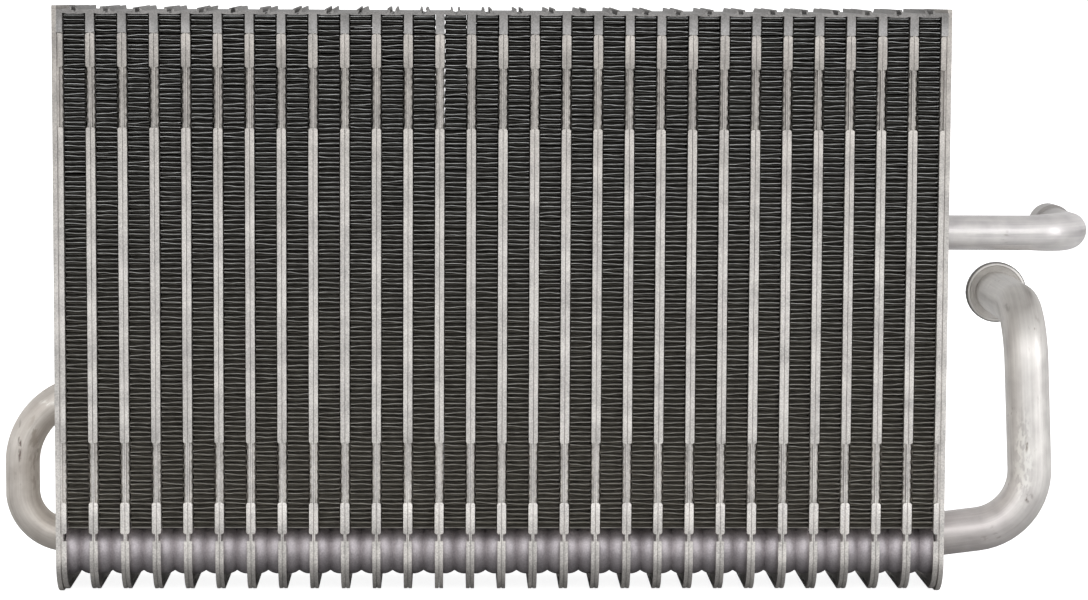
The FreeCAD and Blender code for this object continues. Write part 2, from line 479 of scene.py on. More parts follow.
def drawn_pipe(name, pale, dull, mark, roughness, darker_ends=(), spots=(), rings=()):
    """Drawn aluminium tube.

    darker_ends lists coordinate, axis, span and shade, spots lists place, half size and tone, and rings lists
    two radii and a tone.
    """
    material, tree, shader = new_material(name)
    place = add(tree, "Attribute", {"attribute_name": "straight"}).outputs["Vector"]
    in_space = place_of(tree)
    parts = parts_of(tree, place)
    across = add(tree, "CombineXYZ", inputs={"X": parts["X"], "Y": parts["Y"]})
    radius = length_of(tree, across.outputs["Vector"])
    along = worked_out(tree, "MULTIPLY", parts["Z"], along_stretch)
    drawn = add(tree, "CombineXYZ", inputs={
        "X": parts["X"], "Y": parts["Y"],
        "Z": worked_out(tree, "MULTIPLY_ADD", radius, radius_stretch, along)}).outputs["Vector"]
    lines = speckle(tree, drawn, 0.8, 3.0)
    flats = speckle(tree, drawn, 3.5, 1.0)
    clouds = speckle(tree, place, 8, 4.0)
    tone = mapped(tree, weighed(tree, lines, clouds, 0.38), GREY_LOW, GREY_HIGH)
    # A mark shows where a fine noise peaks inside a patch of a coarse one
    fine = add(tree, "Mapping", inputs={"Vector": place, "Scale": (1.0, 1.0, 0.45)})
    dots = speckle(tree, fine.outputs["Vector"], 1.5, 3.0)
    peak = mapped(tree, dots, 0.58, 0.7, high=0.8)
    patch = mapped(tree, speckle(tree, place, 13, 1.0), 0.59, 0.69)
    tint = mixed(tree, worked_out(tree, "MULTIPLY", peak, patch), mixed(tree, tone, dull, pale), mark)
    # Noise that breaks up every spot, both the marks and the painted highlights
    spot_mottle = mapped(tree, dots, 0.46, 0.58, high=0.85)
    for centre, half_size, spot_tone in spots:
        share = worked_out(tree, "MULTIPLY", spot_share(tree, in_space, centre, half_size), spot_mottle)
        tint = mixed(tree, share, tint, spot_tone)
    for along_pipe, axis, span, shade in darker_ends:
        tint = darkened_along(tree, tint, place if along_pipe else in_space, axis, span, shade)
    for inner, outer, ring_tone in rings:
        tint = mixed(tree, ring_share(tree, radius, inner, outer), tint, ring_tone)
    join(tree, shader, {
        "Base Color": tint, "Metallic": 0.62,
        "Roughness": mapped(tree, clouds, 0.3, 0.7, roughness - 0.08, roughness + 0.08),
        "Normal": bumped(tree, lines, 0.4, 0.1, Normal=bumped(tree, flats, 0.5, 0.4))})
    return material


print("drawn aluminium ready")

# %% [markdown]
# The three pipes differ in tone and wear. The ends that were heated to form a collar or a bell are duller
# than the rest, and the suction pipe is also darker near the tank. Each darker end is laid either along the
# straightened pipe or in space.

# %% Finishes of the three pipes
ALONG, IN_SPACE = True, False
suction_finish = drawn_pipe(
    "drawn aluminium, suction pipe", "F3F0EC", "D8D4D1", "74594F", 0.41,
    # The first entry is the heated elbow and collar, the second makes the run near the tank darker
    darker_ends=[(IN_SPACE, "Z", (80, 102), "DCDBD9"), (ALONG, "Z", (60, 15), "E6E3E5")],
    # The two near-white spots on the upright leg are painted highlights, the three dark ones handling marks
    spots=[((189.6, 6, 44), (4.2, 9, 24), "FFFDF8"), ((190.4, 6, 40), (4.6, 9, 17), "FFFDF8"),
           ((191.0, 6, 49), (0.9, 6, 4.5), "8E8078"), ((191.8, 6, 29.3), (2.4, 6, 2.8), "6B5A52"),
           ((183.5, 15, 98.0), (3.6, 9, 3.4), "6B5F59")],
    rings=collar_painted_rings)
liquid_finish = drawn_pipe(
    "drawn aluminium, liquid pipe", "E6E3E1", "CCC8C9", "86786F", 0.36,
    darker_ends=[(IN_SPACE, "Y", (25, 48), "C8C6C4")])
crossover_finish = drawn_pipe(
    "drawn aluminium, crossover", "E6E0D9", "C6BEB6", "5E4A42", 0.44,
    # A darker brownish band, a dark mark, and a painted highlight near the upper inner end
    spots=[((-168.0, 8, 45), (3.0, 8, 22), "B5ABA1"), ((-173.2, 7, 48.4), (0.9, 6, 12), "5E4A42"),
           ((-162.5, 8, 63), (4.5, 6, 1.6), "FBF8F2")])
print("drawn aluminium for three pipes")

# %% [markdown]
# ## A stamped tube
# Each flat tube is two plates pressed from sheet and brazed edge to edge. Along the front and rear edge most
# of the rim is bent outwards into narrow tabs, which show as two pale strips with a fine line between them.
# Where the tabs are missing, only the thin rim is left. Half of the tube is modelled, for one plate, and
# mirrored.
#
# The plate's outline is square at the top with two rounded lower corners. A block whose two lower edges get a
# large bevel has exactly that shape, and it takes fewer steps than drawing the outline.

# %% Channel and rim of a plate
corner_radius = 12.5
channel_radius = 0.6
rim_half, rim_depth, rim_inset, rim_radius = 0.55, 2.5, 0.12, 0.12
seam_half = 0.06
head_bottom = 196.5
channel_foot = 21.6


def outline_slab(x, inset, low, high):
    """A slab with a plate's outline between two values of X."""
    bm = block(x, (front + inset, rear - inset), (low, high))
    soften(bm, running(edges_at(bm, z=low), "X"), corner_radius, 8)
    return bm


def channel(x, top):
    """The drawn part of a tube above the tank, which carries the refrigerant and which the fins touch."""
    bm = block(x, (front + rim_depth, rear - rim_depth), (channel_foot, top))
    soften(bm, edges_at(bm, x=x[0]) + edges_at(bm, x=x[1]), channel_radius, 3)
    return bm


def rim(x, top):
    """The flat edge where two plates are brazed. It lies a little behind the tabs."""
    bm = outline_slab(x, rim_inset, rim_inset, top)
    soften(bm, edges_at(bm, x=x[1]), rim_radius, 1)
    return bm


print("a channel has", len(channel((-tube_half, tube_half), 200).faces), "faces")

# %% [markdown]
# ### Tabs
# A tab is a strip of the rim bent flat. Its ends are clipped at an angle, so the outer corners get a chamfer
# first and then all edges a small bevel, which is what catches the light. A long tab also gets a cut each few
# millimetres, so that it can waver.

# %% Straight tabs
tab_half, tab_gauge, tab_radius, tab_clip = 1.6, 0.65, 0.16, 0.5
tab_heights = [(21.2, 32.4), (53.3, 163.7), (184.5, 196.3)]
tab_line_halves = [0.075, 0.075, 0.03]
cut_spacing = 9


def tab(x, z):
    """A bent tab on the front edge, between two values of X and of Z. Its outer corners are clipped."""
    bm = block(x, (front, front + tab_gauge), z)
    soften(bm, running(edges_at(bm, x=max(x, key=abs)), "Y"), tab_clip, 1)
    length = z[1] - z[0]
    long_edges = [e for e in bm.edges if e.calc_length() > 0.8 * length - 2 * tab_clip]
    bmesh.ops.subdivide_edges(bm, edges=long_edges, cuts=int(length / cut_spacing), use_grid_fill=True)
    sharp = [e for e in edges_at(bm, y=front) if len(e.link_faces) == 2 and e.calc_face_angle() > 0.5]
    soften(bm, sharp, tab_radius)
    return bm


print("a long tab has", len(tab((0.1, tab_half), tab_heights[1]).faces), "faces")

# %% [markdown]
# The lowest tab follows the plate's rounded corners: its section is a ring of edges that is extruded down,
# turned about the corner's centre in small steps, pulled along the foot and brought up again at the rear.

# %% The tab round the foot
foot_tab_top = 18.7
foot_tab_x = (0.28, 1.45)


def about(centre, change):
    """The matrix of a turn or a scale about a centre."""
    return Matrix.Translation(centre) @ change @ Matrix.Translation(-centre)


def extruded_ring(bm, ring, change):
    """Extrudes a ring of edges, transforms the new ring by a matrix and returns it."""
    made = bmesh.ops.extrude_edge_only(bm, edges=ring)["geom"]
    points = points_of(made)
    bmesh.ops.transform(bm, matrix=change, verts=points)
    return [g for g in made if isinstance(g, bmesh.types.BMEdge) and set(g.verts) <= set(points)]


def foot_tab(x, steps=8):
    """The tab that runs down the front edge, round the foot and up the rear edge."""
    bm = bmesh.new()
    middle = Matrix.Translation((sum(x) / 2, front + tab_gauge / 2, foot_tab_top))
    add_square(bm, middle @ Matrix.Diagonal((x[1] - x[0], tab_gauge, 1, 1)))
    soften(bm, [v for v in bm.verts if near(v.co.y, front)], tab_radius, 2, "VERTICES")
    down = Vector((0, 0, corner_radius - foot_tab_top))
    back = Vector((0, rear - front - 2 * corner_radius, 0))
    turn = Matrix.Rotation(math.radians(90 / steps), 4, "X")
    changes = []
    for run, side in ((down, 1), (back, -1)):
        centre = Vector((0, side * (front + corner_radius), corner_radius))
        changes += [Matrix.Translation(run)] + [about(centre, turn)] * steps
    ring = bm.edges[:]
    for change in changes + [Matrix.Translation(-down)]:
        ring = extruded_ring(bm, ring, change)
    bmesh.ops.edgeloop_fill(bm, edges=ring)
    return bm


print("the foot tab has", len(foot_tab(foot_tab_x).faces), "faces")

# %% [markdown]
# ### Tank cups
# At the foot each plate is drawn out into two cups, one for the front and one for the rear chamber of the
# tank. Two cups meet at the middle of a gap, mouth to mouth, with a sharp waist between their rounded walls.
# A cup is made like a potter's vessel lying on its side: a rounded D is extruded outwards in steps, and each
# new ring is scaled to the wall's arch, which swells from the plate and comes in again towards the waist.

# %% One drawn cup
cup_bottom, cup_top = 5.2, 23.0
chamber_inner, chamber_outer = 2.0, 25.0
cup_middle = Vector((0, (chamber_inner + chamber_outer) / 2, (cup_bottom + cup_top) / 2))
cup_size = Vector((1, chamber_outer - chamber_inner, cup_top - cup_bottom))
cup_outer_corner, cup_inner_corner = 8.5, 3.5
waist_inset, widest = 1.2, 0.3
cup_steps = 10
cup_start = rim_half + 0.1


def cup_outline(share):
    """Depth and height of the wall's outline, for a share of the way from the plate to the waist."""
    inset = waist_inset * ((share - widest) / (1 - widest)) ** 2
    return cup_size - Vector((0, 2, 2)) * inset


def cup(side):
    """The front (side -1) or rear (side 1) cup of a plate that faces +X."""
    bm = bmesh.new()
    size = cup_outline(0)
    middle = Vector((cup_start, side * cup_middle.y, cup_middle.z))
    upright = Matrix.Rotation(math.radians(90), 4, "Y")
    add_square(bm, Matrix.Translation(middle) @ Matrix.Diagonal((*size, 1)) @ upright)
    for outer, radius, segments in ((True, cup_outer_corner, 12), (False, cup_inner_corner, 4)):
        corners = [v for v in bm.verts if (side * v.co.y > cup_middle.y) == outer]
        soften(bm, corners, radius, segments, "VERTICES")
    mouth = bm.faces[:][0]
    for step in range(1, cup_steps + 1):
        share = step / cup_steps
        wanted = cup_outline(share)
        made = bmesh.ops.extrude_face_region(bm, geom=[mouth])["geom"]
        if step > 1:
            # The extrusion leaves the face that it started from, which would be a wall inside the cup
            bmesh.ops.delete(bm, geom=[mouth], context="FACES_ONLY")
        mouth = next(g for g in made if isinstance(g, bmesh.types.BMFace))
        points = points_of(made)
        x = cup_start + (pitch / 2 - cup_start) * share
        shift(bm, (x - points[0].co.x, 0, 0), points)
        swell = Matrix.Diagonal((1, wanted.y / size.y, wanted.z / size.z, 1))
        bmesh.ops.transform(bm, matrix=about(middle, swell), verts=points)
        size = wanted
    return bm


print("a cup has", len(cup(-1).faces), "faces and is", round(cup_outline(1).z, 1), "mm high at the waist")

# %% [markdown]
# ### Head
# At the top the two plates spread into a flange whose edges stand up as lips, so that the heads of all tubes
# nearly touch. The section is the same all along the depth, so half of its outline is filled, extruded along
# Y and mirrored. The lips' front corners are rounded, as pressed edges are.

# %% The flanged head
head_half = 1.45
lip_reach, lip_gauge, lip_slope = 4.7, 0.75, 0.15
flange_under, flange_over = 203.2, 204.5
arm_under, arm_over, arm_root = 202.85, 204.1, 1.6
head_clearance = 0.02
lip_corner_radius, head_bend_radius = 1.0, 0.25


def head(root):
    """Half of a head, from the tube's middle to the next tube's. root is half of the bar's width."""
    bm = bmesh.new()
    reach = root - head_half + lip_reach
    meeting = root - head_half + pitch / 2 - head_clearance
    outline = [
        (0, head_bottom), (root, head_bottom), (root, flange_under), (reach - arm_root, arm_under),
        (meeting, arm_under), (meeting, arm_over - lip_slope), (reach, arm_over),
        (reach - 0.05, lip_top), (reach - lip_gauge, lip_top),
        (reach - lip_gauge - lip_slope, flange_over), (0, flange_over),
    ]
    face = bm.faces.new([bm.verts.new((x, front, z)) for x, z in outline])
    made = bmesh.ops.extrude_face_region(bm, geom=[face])["geom"]
    shift(bm, (0, rear - front, 0), points_of(made))
    middle_wall = [f for f in bm.faces if near(f.calc_center_median().x, 0)]
    bmesh.ops.delete(bm, geom=middle_wall, context="FACES_ONLY")
    soften(bm, edges_at(bm, z=lip_top, y=front), lip_corner_radius, 4)
    bends = [e for e in running(bm.edges, "Y")
             if e.verts[0].co.x > 0.1 and head_bottom + 0.1 < e.verts[0].co.z < lip_top + 0.1]
    soften(bm, bends, head_bend_radius, 3)
    return bm


print("half a head has", len(head(head_half).faces), "faces")

# %% [markdown]
# ### Putting a tube together
# One tube is built at X 0 and kept as a pattern, so that its bevels are worked out only once. Half of it
# holds all that one plate has. The other half is a mirror image, and the channel goes between them.

# %% Tube pattern
# Places in the list of finishes. Unpainted faces keep 0, the plate's
HEAD, CUP = 1, 2


def tube_pattern():
    """One tube: all that one plate has on the side of +X, its mirror image, and the channel between."""
    bm = gather(bmesh.new(), rim((seam_half, rim_half), head_bottom), foot_tab(foot_tab_x))
    for line_half, z in zip(tab_line_halves, tab_heights):
        gather(bm, mirrored(tab((line_half, tab_half), z), "Y"))
    gather(bm, paint(cup(-1), CUP), paint(cup(1), CUP), paint(head(head_half), HEAD))
    gather(mirrored(bm, "X"), channel((-tube_half, tube_half), flange_under))
    return as_mesh(welded(bm), "tube pattern")


pattern = tube_pattern()
print("the pattern has", len(pattern.polygons), "faces")

# %% [markdown]
# Each tube in the row is a copy of the pattern, moved to its CAD solid and wavered by a few hundredths of a
# millimetre, because no two stampings are quite alike. The waver is a smooth noise read at the point's own
# place, so it is different for each tube. Without a seed this noise would start from the clock, so it gets
# one and is the same on every run. The thin lips of the heads get bent in handling, so they also sag to the
# front and lean by some tenths.

# %% Row of tubes
plate_finishes = [plate_finish, head_finish, cup_finish]
lip_sag, lip_sway, lip_wave = 0.6, 0.7, 25
noise.seed_set(1)


def waver(bm, reach, size):
    """Moves every point by a smooth noise of this size, with features as long as reach."""
    for vert in bm.verts:
        vert.co += size * noise.noise_vector(vert.co / reach)


def wander(x, y, z):
    """A smooth noise. Where a column number is multiplied, it only makes columns differ."""
    return noise.noise(Vector((x, y, z)))


def sagged(bm, column):
    """Lets the front of a flange sag and its lips lean a little, each tube in its own way."""
    for vert in bm.verts:
        own = wander(column * 5.1, vert.co.y / lip_wave, 0.3)
        if vert.co.z > flange_over + 0.3:
            vert.co.x += lip_sway * own
        if vert.co.z > flange_under + 0.5:
            vert.co.z -= lip_sag * (1 + own) * (rear - vert.co.y) / (rear - front)


tubes = []
for column, name in enumerate(tube_names):
    low, high = node_box(name)
    bm = copy_of(pattern)
    shift(bm, ((low.x + high.x) / 2, 0, 0))
    sagged(bm, column)
    waver(bm, reach=14, size=0.06)
    tubes.append(new_piece(bm, name.replace("tube", "stamped_tube"), plate_finishes, name))
bpy.data.meshes.remove(pattern)
print(len(tubes), "tubes of", triangles(tubes[0]), "triangles")

# %% [markdown]
# ## Folded fins
# A fin is one long strip folded to and fro, with tight bends that are brazed to the tubes. The CAD solid only
# has a few folds. Here one pair of legs is drawn as a line in the XZ plane: a point is extruded across the
# gap, spun about the bend's centre, extruded up, spun again and sent back. That pair is duplicated up the
# column, the line is pulled along Y into a sheet, and solidify gives it a thickness. The strip is drawn 0.2
# mm thick, twice as much as it really is, so that its edge still shows in a small render.

# %% Line of a column of folds
fold_spacing_wanted = 1.69
fold_radius = 0.42
leg_parts = 6
strip_gauge = 0.2
fin_top = fin_high.z + 0.3
fin_front, fin_rear = fin_low.y, fin_high.y

leg_count = round((fin_top - fin_low.z) / fold_spacing_wanted)
leg_count -= leg_count % 2
fold_spacing = (fin_top - fin_low.z - strip_gauge) / leg_count
swing = (gap_width - strip_gauge) / 2


def pulled(bm, vert, vec):
    """Extrudes a point by a vector."""
    made = bmesh.ops.extrude_vert_indiv(bm, verts=[vert])["verts"]
    shift(bm, vec, made)
    return made[0]


def leg_line(bm, vert, side):
    """A leg across the gap, in short parts so that it can be bowed later."""
    for _ in range(leg_parts):
        vert = pulled(bm, vert, (side * 2 * (swing - fold_radius) / leg_parts, 0, 0))
    return vert


def quarter_bend(bm, vert, centre_z, side):
    made = bmesh.ops.spin(
        bm, geom=[vert], cent=(side * (swing - fold_radius), 0, centre_z), axis=(0, 1, 0),
        angle=-side * math.radians(90), steps=3, use_merge=False)["geom_last"]
    return points_of(made)[0]


def fold_pair():
    """The line of two legs and their two bends, from the left bend at Z 0 up to the next one."""
    bm = bmesh.new()
    vert = bmesh.ops.create_vert(bm, co=(fold_radius - swing, 0, 0))["vert"][0]
    for side in (1, -1):
        vert = leg_line(bm, vert, side)
        vert = quarter_bend(bm, vert, vert.co.z + fold_radius, side)
        vert = pulled(bm, vert, (0, 0, fold_spacing - 2 * fold_radius))
        vert = quarter_bend(bm, vert, vert.co.z, side)
    return bm


def fin_line():
    """The line of a whole column, with a last leg at the top."""
    bm = fold_pair()
    first = bm.verts[:] + bm.edges[:]
    for pair in range(1, leg_count // 2):
        made = bmesh.ops.duplicate(bm, geom=first)["geom"]
        shift(bm, (0, 0, 2 * fold_spacing * pair), points_of(made))
    bmesh.ops.remove_doubles(bm, verts=bm.verts, dist=0.01)
    leg_line(bm, max(bm.verts, key=lambda v: v.co.z), 1)
    return as_mesh(bm, "fin line")


print(f"{leg_count} legs, {fold_spacing:.3f} mm apart")

# %% [markdown]
# Louvres are short slats cut into each leg and twisted out of it, 1.2 mm apart on the real strip. They matter
# at the top, where the eye is level with the legs and could look straight through a plain fold. Slats of 3 mm
# stand in for them here, leaning one way in the front half and the other way in the rear half, as real ones
# do.

# %% Louvre slats
louvre_length, louvre_reach, louvre_tilt = 3.0, 7.3, 27.0
louvres_each_way = 4


def louvre_slats():
    """The slats of one leg, in the XY plane at Z 0, with the front edge of the strip at Y 0."""
    bm = bmesh.new()
    for number in range(2 * louvres_each_way):
        way = 1 if number < louvres_each_way else -1
        y = (fin_rear - fin_front) * (number + 0.5) / (2 * louvres_each_way)
        lean = Matrix.Rotation(math.radians(way * louvre_tilt), 4, "X")
        size = Matrix.Diagonal((louvre_reach, louvre_length, 1, 1))
        add_square(bm, Matrix.Translation((0, y, 0)) @ lean @ size)
    return as_mesh(bm, "slats")


slats = louvre_slats()
print(len(slats.polygons), "slats on a leg")

# %% [markdown]
# Real folds aren't even. Each leg is tipped and bowed a little by smooth noise before the thickness is added,
# and the column number shifts the noise so that no two fins match. Faces that look forward are the cut edge
# of the strip. Near the tubes they get the dark finish of the bends, partly braze and partly painted shade.

# %% Columns of fins
EDGE, BEND = 1, 2
fin_finishes = [strip_finish, edge_finish, bend_braze_and_shade_finish]
bend_shade = 0.55
calm_length = 4


def uneven(place, column):
    """How far a point of a fold is off its even place, up or down."""
    leg = place.z / fold_spacing
    zigzag = (0.1 + 0.25 * wander(3.3, leg * 0.4, column * 9.1)) * math.cos(math.pi * leg)
    tip = 0.3 * wander(place.x / 5, leg * 0.83, column * 7.3)
    bow = 0.14 * wander(place.x / 1.9, leg * 1.7, column * 3.1 + 40)
    drift = 0.5 * wander(0.5, leg * 0.09, column * 5.7)
    return zigzag * place.x / swing + tip + bow + drift


def shifted(place, column):
    """The same, but calm at both ends of a column, where head and tank keep the strip straight."""
    calm = min(1.0, place.z / calm_length, (leg_count * fold_spacing - place.z) / calm_length)
    return max(0.0, calm) * uneven(place, column)


line = fin_line()
fins = []
for column, name in enumerate(fin_names):
    low, high = node_box(name)
    middle_x = (low.x + high.x) / 2
    bm = copy_of(line)
    for vert in bm.verts:
        vert.co.z += shifted(vert.co, column)
    made = bmesh.ops.extrude_edge_only(bm, edges=bm.edges[:])["geom"]
    shift(bm, (0, fin_rear - fin_front, 0), points_of(made))
    for leg in range(leg_count + 1):
        middle = Vector((0, 0, leg * fold_spacing))
        old = len(bm.verts)
        bm.from_mesh(slats)
        bm.verts.ensure_lookup_table()
        shift(bm, (0, 0, middle.z + shifted(middle, column)), bm.verts[old:])
    shift(bm, (middle_x, fin_front, low.z + strip_gauge / 2))
    bmesh.ops.recalc_face_normals(bm, faces=bm.faces)
    bmesh.ops.solidify(bm, geom=bm.faces[:], thickness=strip_gauge)
    bm.normal_update()
    for face in [f for f in bm.faces if abs(f.normal.y) > 0.7]:
        at_bend = abs(face.calc_center_median().x - middle_x) > swing - bend_shade
        face.material_index = BEND if at_bend else EDGE
    fins.append(new_piece(bm, name.replace("fin", "folded_fin"), fin_finishes, name, 50))
for mesh in (line, slats):
    bpy.data.meshes.remove(mesh)
print(len(fins), "fins of", triangles(fins[0]), "triangles")

# %% [markdown]
# ## End plates
# The stack is closed at each end by a last channel plate and a flat, thicker sheet with the same outline.
# From the front they show as a pale strip, a dark line and a narrower strip. The channel plate has half a
# head, cut off at the sheet, and cups that face the core.

# %% Half head and inner cups
channel_inner_x = (pitch * (len(tube_names) + 1)) / 2 - tube_half
sheet_gauge, sheet_radius = 1.3, 0.18
sheet_inner_x = sheet_outer_x - sheet_gauge
sheet_foot = end_low.z
end_line, line_width, line_depth = 0.35, 0.35, 0.7


def cut_at(bm, x):
    """Cuts off all that lies beyond a value of X and closes the cut."""
    cut = bmesh.ops.bisect_plane(
        bm, geom=everything(bm), plane_co=(x, 0, 0), plane_no=(1, 0, 0), clear_outer=True)["geom_cut"]
    bmesh.ops.holes_fill(bm, edges=[g for g in cut if isinstance(g, bmesh.types.BMEdge)], sides=0)
    return bm


def inner_cup(side, middle):
    """A cup that faces the core, placed from the middle of the end plate."""
    bm = mirrored(paint(cup(side), CUP), "X")
    bmesh.ops.delete(bm, geom=[v for v in bm.verts if v.co.x > 0], context="VERTS")
    shift(bm, (channel_inner_x + tube_half - middle, 0, 0))
    return bm


print("the end sheet starts at", round(sheet_inner_x, 2), "mm")

# %% [markdown]
# Both ends are built on the right, where the sheet faces +X, with the same tools as a tube. The left one is
# then turned over by a scale of -1 along X.

# %% End plates
def right_end():
    """The right end plate: the channel plate, its tabs, cups and half head, and the flat sheet."""
    half_width = (sheet_inner_x - channel_inner_x) / 2
    middle = channel_inner_x + half_width
    tab_x = (-half_width - tab_half + tube_half, half_width - end_line - line_width)
    bm = gather(bmesh.new(), *[mirrored(tab(tab_x, z), "Y") for z in tab_heights], foot_tab(tab_x))
    gather(bm, channel((-half_width, half_width), flange_under))
    gather(bm, outline_slab((half_width - 2 * rim_half, half_width), line_depth, line_depth, head_bottom))
    gather(bm, cut_at(mirrored(paint(head(half_width), HEAD), "X"), half_width))
    gather(bm, inner_cup(-1, middle), inner_cup(1, middle))
    shift(bm, (middle, 0, 0))
    sheet = outline_slab((sheet_inner_x - end_line, sheet_outer_x), 0, sheet_foot, lip_top)
    soften(sheet, edges_at(sheet, x=sheet_outer_x), sheet_radius)
    return gather(bm, sheet)


end_plates = []
for name, side in (("end_plate_right", 1), ("end_plate_left", -1)):
    bm = right_end()
    bmesh.ops.scale(bm, vec=(side, 1, 1), verts=bm.verts)
    waver(welded(bm), reach=20, size=0.05)
    end_plates.append(new_piece(
        bm, name.replace("end_plate", "closed_end"), plate_finishes, name))
print("an end plate has", triangles(end_plates[0]), "triangles")

# %% [markdown]
# ## Pipes
# A pipe bender works with straight runs and bends of a set radius, and so does this cell. A ring of edges
# starts at the port, straight runs are extruded in short lengths, and a bend is extruded in small steps, each
# turned a little about the bend's axis. Every new ring notes in the straight attribute how much pipe lies
# behind it, so that the drawn lines of the finish follow the bends. The open end is turned back inside as a
# bore.

# %% A pipe that grows ring by ring
pipe_sides = 36
bore_depth, bore_chamfer = 25.0, 0.25


class Pipe:
    """A pipe in the making: its bmesh, its open ring of edges, where it ends and which way it heads."""

    def __init__(self, start, heading, radius):
        self.bm = bmesh.new()
        self.end = start.copy()
        self.along = heading.normalized()
        self.straight = self.bm.verts.layers.float_vector.new("straight")
        place = Matrix.Translation(start) @ heading.to_track_quat("Z", "Y").to_matrix().to_4x4()
        bmesh.ops.create_circle(self.bm, segments=pipe_sides, radius=radius, matrix=place)
        for vert in self.bm.verts:
            vert[self.straight] = (place.inverted() @ vert.co) * MM
        self.ring = self.bm.edges[:]

    def grow(self, change, run=0.0, ratio=1.0):
        """Extrudes the ring, transforms it by a matrix and notes the length and width of its pipe."""
        self.ring = extruded_ring(self.bm, self.ring, change)
        self.end = change @ self.end
        for vert in {v for edge in self.ring for v in edge.verts}:
            x, y, z = vert[self.straight]
            vert[self.straight] = (x * ratio, y * ratio, z + run * MM)

    def run_on(self, length, parts):
        """A straight length of pipe."""
        for _ in range(parts):
            self.grow(Matrix.Translation(self.along * length / parts), length / parts)

    def bend_on(self, towards, bend_radius, swell, steps=14):
        """A bend until the pipe heads another way. A swell makes it wider across the bend's plane."""
        angle = self.along.angle(towards)
        axis = self.along.cross(towards).normalized()
        centre = self.end + axis.cross(self.along) * bend_radius
        turn = Matrix.Rotation(angle / steps, 4, axis)
        widths = [1 + swell * math.sin(math.pi * step / steps) for step in range(steps + 1)]
        for old, new in zip(widths, widths[1:]):
            self.grow(about(centre, Matrix.Scale(new / old, 4, axis) @ turn), bend_radius * angle / steps)
        self.along = towards.normalized()

    def turned_end(self, radius, profile, bore):
        """An end turned to a profile of distances and radii, with a wall and a bore."""
        for run, next_radius in profile + [(0, bore + bore_chamfer), (-0.3, bore)]:
            ratio = next_radius / radius
            move = Matrix.Translation(self.along * run)
            self.grow(move @ about(self.end, Matrix.Diagonal((ratio, ratio, ratio, 1))), run, ratio)
            radius = next_radius
        self.grow(Matrix.Translation(-self.along * bore_depth))
        bmesh.ops.edgeloop_fill(self.bm, edges=self.ring)


print("a pipe has", pipe_sides, "sides")

# %% [markdown]
# The centre line of a pipe is given as corners, as on a drawing, with a radius for each bend. A bend takes
# some length off the two runs that meet in it, so that length is worked out first. The first point lies a
# little inside the end sheet, where the pipe sits in its port.

# %% Route a pipe from a port
seat_depth = 2.0
port_y, tank_z = cup_middle.y, cup_middle.z


def routed(corners, radii, radius, swell=0.0, parts=8):
    """A pipe along straight runs joined by bends, open at both ends."""
    legs = [b - a for a, b in zip(corners, corners[1:])]
    pipe = Pipe(corners[0], legs[0], radius)
    trims = [0] + [r * math.tan(a.angle(b) / 2) for r, a, b in zip(radii, legs, legs[1:])] + [0]
    for number, leg in enumerate(legs):
        length = leg.length - trims[number] - trims[number + 1]
        if length > 0.05:
            pipe.run_on(length, parts)
        if number < len(radii):
            pipe.bend_on(legs[number + 1], radii[number], swell)
    return pipe


def port(side, height):
    """Where a port's axis meets the face of the end sheet."""
    return Vector((side * sheet_outer_x, port_y, height))


def seated(start, corner):
    """A pipe's first point, if it leaves its port at start and runs to a corner."""
    return start + (start - corner).normalized() * seat_depth


def pipe_piece(pipe, name, finish):
    """Fills the pipe's port end and puts it in the place of the CAD node of this name."""
    open_edges = [e for e in pipe.bm.edges if len(e.link_faces) == 1]
    bmesh.ops.holes_fill(pipe.bm, edges=open_edges, sides=0)
    bmesh.ops.recalc_face_normals(pipe.bm, faces=pipe.bm.faces)
    piece = new_piece(pipe.bm, name + "_drawn", [finish], name)
    print(name, "has", triangles(piece), "triangles")
    return piece


print("ports lie", round(port_y, 1), "mm behind the middle of the core")

# %% [markdown]
# ### Suction pipe
# The widest pipe takes the vapour away. It leaves the tank of the rear chamber, rises slightly, turns up
# beside the core, leans in a little and turns to the rear, where a collar stops the fitting that is pushed on
# its end.

# %% Suction pipe
suction_radius, suction_bore = 8.0, 6.5
suction_leg_x, suction_rise, suction_lean = 38.2, 7.0, 2.6
suction_elbow_height = 97.0
suction_end = Vector((35.8, 84.0, suction_elbow_height))
suction_bend_radii = [21.5, 20.0]
collar_radius, spigot_length, edge_rounding = 11.6, 12.0, 0.35
# A flat face, a raised bead, a rounded edge, the rim of the collar and its rear face
collar_profile = [(0, 10.15), (-0.3, 10.4), (0, 10.95), (0.5, collar_radius), (2.45, collar_radius),
                  (edge_rounding, collar_radius - edge_rounding)]
spigot_profile = [(0, suction_radius), (spigot_length - edge_rounding, suction_radius),
                  (edge_rounding, suction_radius - edge_rounding)]


def suction_pipe():
    rise, lean = [math.tan(math.radians(angle)) for angle in (suction_rise, suction_lean)]
    start = port(1, tank_z)
    foot = start + Vector((suction_leg_x, 0, suction_leg_x * rise))
    top = Vector((foot.x - (suction_elbow_height - foot.z) * lean, port_y, suction_elbow_height))
    collar = Vector((sheet_outer_x, 0, 0)) + suction_end
    pipe = routed([seated(start, foot), foot, top, collar], suction_bend_radii, suction_radius)
    pipe.turned_end(suction_radius, collar_profile + spigot_profile, suction_bore)
    return pipe


suction = pipe_piece(suction_pipe(), "suction_pipe", suction_finish)

# %% [markdown]
# ### Liquid pipe
# The liquid pipe comes in at mid height and has a belled end, which a fitting slides into. A tube swells a
# little across the plane of a tight bend, and that shows on its elbow.

# %% Liquid pipe
liquid_radius, liquid_bore, liquid_swell, liquid_bend_radius = 6.35, 5.55, 0.09, 18.0
liquid_height, liquid_leg_x = 125.0, 53.5
liquid_end = Vector((52.8, 59.0, liquid_height))
bell_radius, bell_length, bell_flare = 7.3, 12.0, 1.2
bell_profile = [(bell_flare, bell_radius), (bell_length - bell_flare - edge_rounding, bell_radius),
                (edge_rounding, bell_radius - edge_rounding)]


